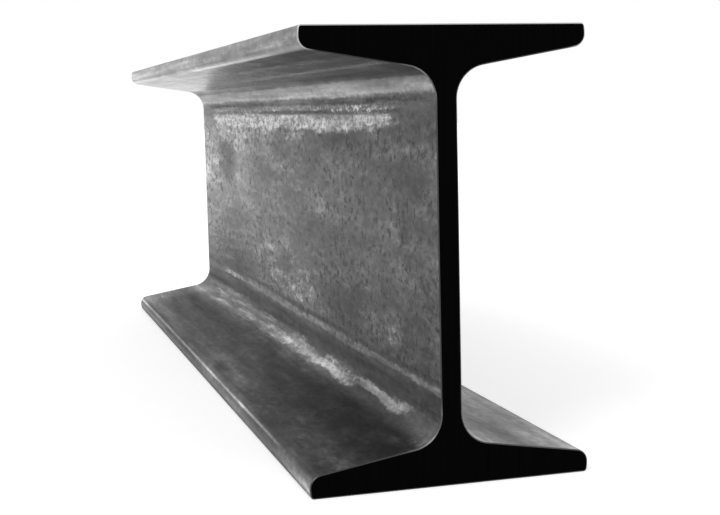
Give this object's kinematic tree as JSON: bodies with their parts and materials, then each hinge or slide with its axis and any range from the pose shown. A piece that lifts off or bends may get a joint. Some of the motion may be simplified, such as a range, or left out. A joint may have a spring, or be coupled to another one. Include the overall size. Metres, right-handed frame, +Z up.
{
  "type": "steel i-beam",
  "caption": "Short sawn length of hot-rolled steel I-beam with tapered flanges, rounded toes and a filleted web, used to carry bending loads.",
  "frame": {"origin": "middle of the bottom flange's outer face, halfway along the beam", "axes": "+X across the flanges, +Y along the beam, +Z up the web; the beam stands on its bottom flange"},
  "size_m": [0.0654, 0.3048, 0.1016],
  "materials": {
    "mill_scale_steel": "as-rolled steel with worn neutral grey mill scale, streaked and pitted along the length, rubbed bright on the toes and beside the fillets, with near-black sawn ends"
  },
  "bodies": {
    "root": {"i_beam": "mill_scale_steel"}
  },
  "joints": []
}
